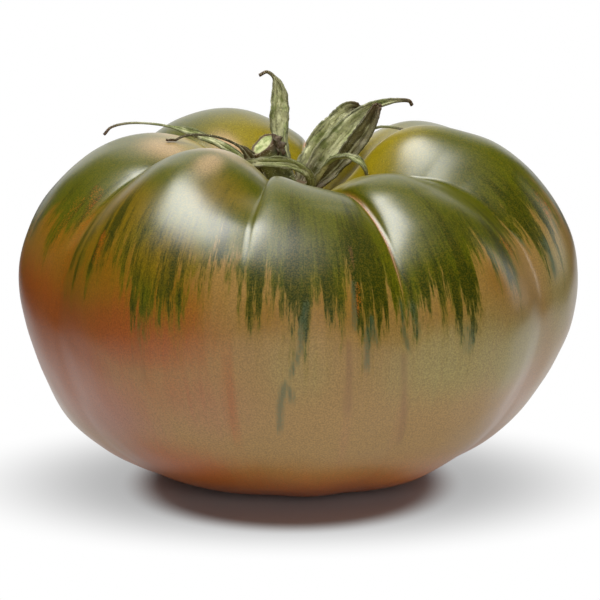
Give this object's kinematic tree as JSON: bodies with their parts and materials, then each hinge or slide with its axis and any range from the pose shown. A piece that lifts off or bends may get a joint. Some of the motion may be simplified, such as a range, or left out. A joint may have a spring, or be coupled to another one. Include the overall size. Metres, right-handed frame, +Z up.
{
  "type": "tomato",
  "caption": "Ribbed beefsteak tomato with a deep stem pit, dried curling sepals and the cut stub of its stalk, resting on a flat blossom end.",
  "frame": {"origin": "on the resting plane, under the middle of the fruit's box", "axes": "+Z up along the stem axis, +X to the right of the front view and along the widest extent, -Y towards the front"},
  "size_m": [0.0912, 0.09, 0.0666],
  "materials": {
    "skin": "glossy fruit skin, green shoulders over tan and orange",
    "dried_leaf": "dry matt leaf",
    "stalk": "hairy matt stalk"
  },
  "bodies": {
    "root": {"fruit": "skin", "calyx": "dried_leaf", "stem": "stalk"}
  },
  "joints": []
}
